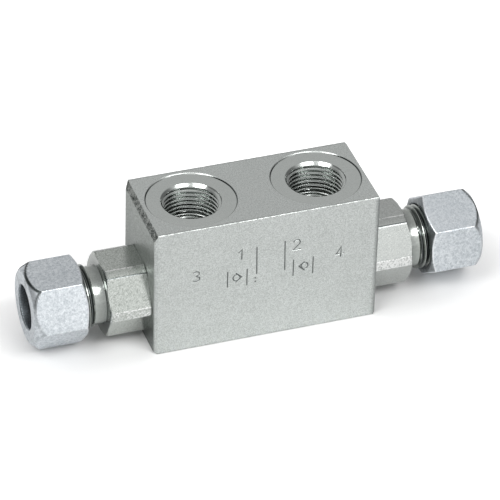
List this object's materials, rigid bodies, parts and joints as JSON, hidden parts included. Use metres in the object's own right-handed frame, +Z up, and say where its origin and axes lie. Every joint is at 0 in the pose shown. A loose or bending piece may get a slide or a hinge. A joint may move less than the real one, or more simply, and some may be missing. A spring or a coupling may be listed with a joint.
{
  "type": "pilot operated non-return valve",
  "caption": "Steel block valve for hydraulic lines: threaded ports on top, and at each end a hexagon fitting with cutting ring and union nut.",
  "frame": {"origin": "middle of the block's underside, on the surface the valve stands on", "axes": "+X along the main bore towards the right fitting, +Z up towards the ports, -Y towards the viewer in the picture"},
  "size_m": [0.1304, 0.028, 0.04],
  "materials": {
    "block_zinc": "bright zinc plate on a milled and ground block, satin",
    "fitting_zinc": "bright zinc plate on turned bar, semi-gloss",
    "nut_zinc": "mottled bluish zinc plate, satin",
    "ground_steel": "hardened and ground",
    "ring_steel": "dark case-hardened, oiled",
    "spring_steel": "drawn spring wire",
    "black_rubber": "moulded nitrile, matt",
    "white_plastic": "turned, waxy"
  },
  "bodies": {
    "block": {"valve_body": "block_zinc", "seat_ring_left": "ground_steel", "seat_ring_right": "ground_steel", "seat_o_ring_left": "black_rubber", "seat_o_ring_right": "black_rubber", "check_spring_left": "spring_steel", "check_spring_right": "spring_steel", "end_fitting_left": "fitting_zinc", "end_fitting_right": "fitting_zinc", "fitting_o_ring_left": "black_rubber", "fitting_o_ring_right": "black_rubber"},
    "piston": {"pilot_piston": "ground_steel", "pilot_piston_o_ring": "black_rubber", "pilot_backup_ring_left": "white_plastic", "pilot_backup_ring_right": "white_plastic"},
    "poppet_left": {"check_poppet_left": "ground_steel"},
    "poppet_right": {"check_poppet_right": "ground_steel"},
    "ring_left": {"cutting_ring_left": "ring_steel"},
    "ring_right": {"cutting_ring_right": "ring_steel"},
    "nut_left": {"union_nut_left": "nut_zinc"},
    "nut_right": {"union_nut_right": "nut_zinc"}
  },
  "joints": [
    {"name": "pilot_piston_slide", "type": "slide", "parent": "block", "child": "piston", "axis": [1, 0, 0], "range_m": [-0.0012, 0.0012]},
    {"name": "poppet_left_slide", "type": "slide", "parent": "block", "child": "poppet_left", "axis": [-1, 0, 0], "range_m": [0, 0.0035], "stiffness_N_per_m": 1500, "springref_m": -0.004, "deforming": ["check_spring_left"]},
    {"name": "poppet_right_slide", "type": "slide", "parent": "block", "child": "poppet_right", "axis": [1, 0, 0], "range_m": [0, 0.0035], "stiffness_N_per_m": 1500, "springref_m": -0.004, "deforming": ["check_spring_right"]},
    {"name": "ring_left_travel", "type": "slide", "parent": "block", "child": "ring_left", "axis": [-1, 0, 0], "range_m": [0, 0.00575]},
    {"name": "nut_left_turn", "type": "hinge", "parent": "ring_left", "child": "nut_left", "pos_m": [-0.0575, 0, 0.0136], "axis": [-1, 0, 0], "range_deg": [0, 1381]},
    {"name": "ring_right_travel", "type": "slide", "parent": "block", "child": "ring_right", "axis": [1, 0, 0], "range_m": [0, 0.00575]},
    {"name": "nut_right_turn", "type": "hinge", "parent": "ring_right", "child": "nut_right", "pos_m": [0.0575, 0, 0.0136], "axis": [1, 0, 0], "range_deg": [0, 1381]}
  ],
  "couplings": [
    {"joint": "nut_left_turn", "follows": "ring_left_travel", "rad_per_m": 4188.8},
    {"joint": "nut_right_turn", "follows": "ring_right_travel", "rad_per_m": 4188.8}
  ]
}
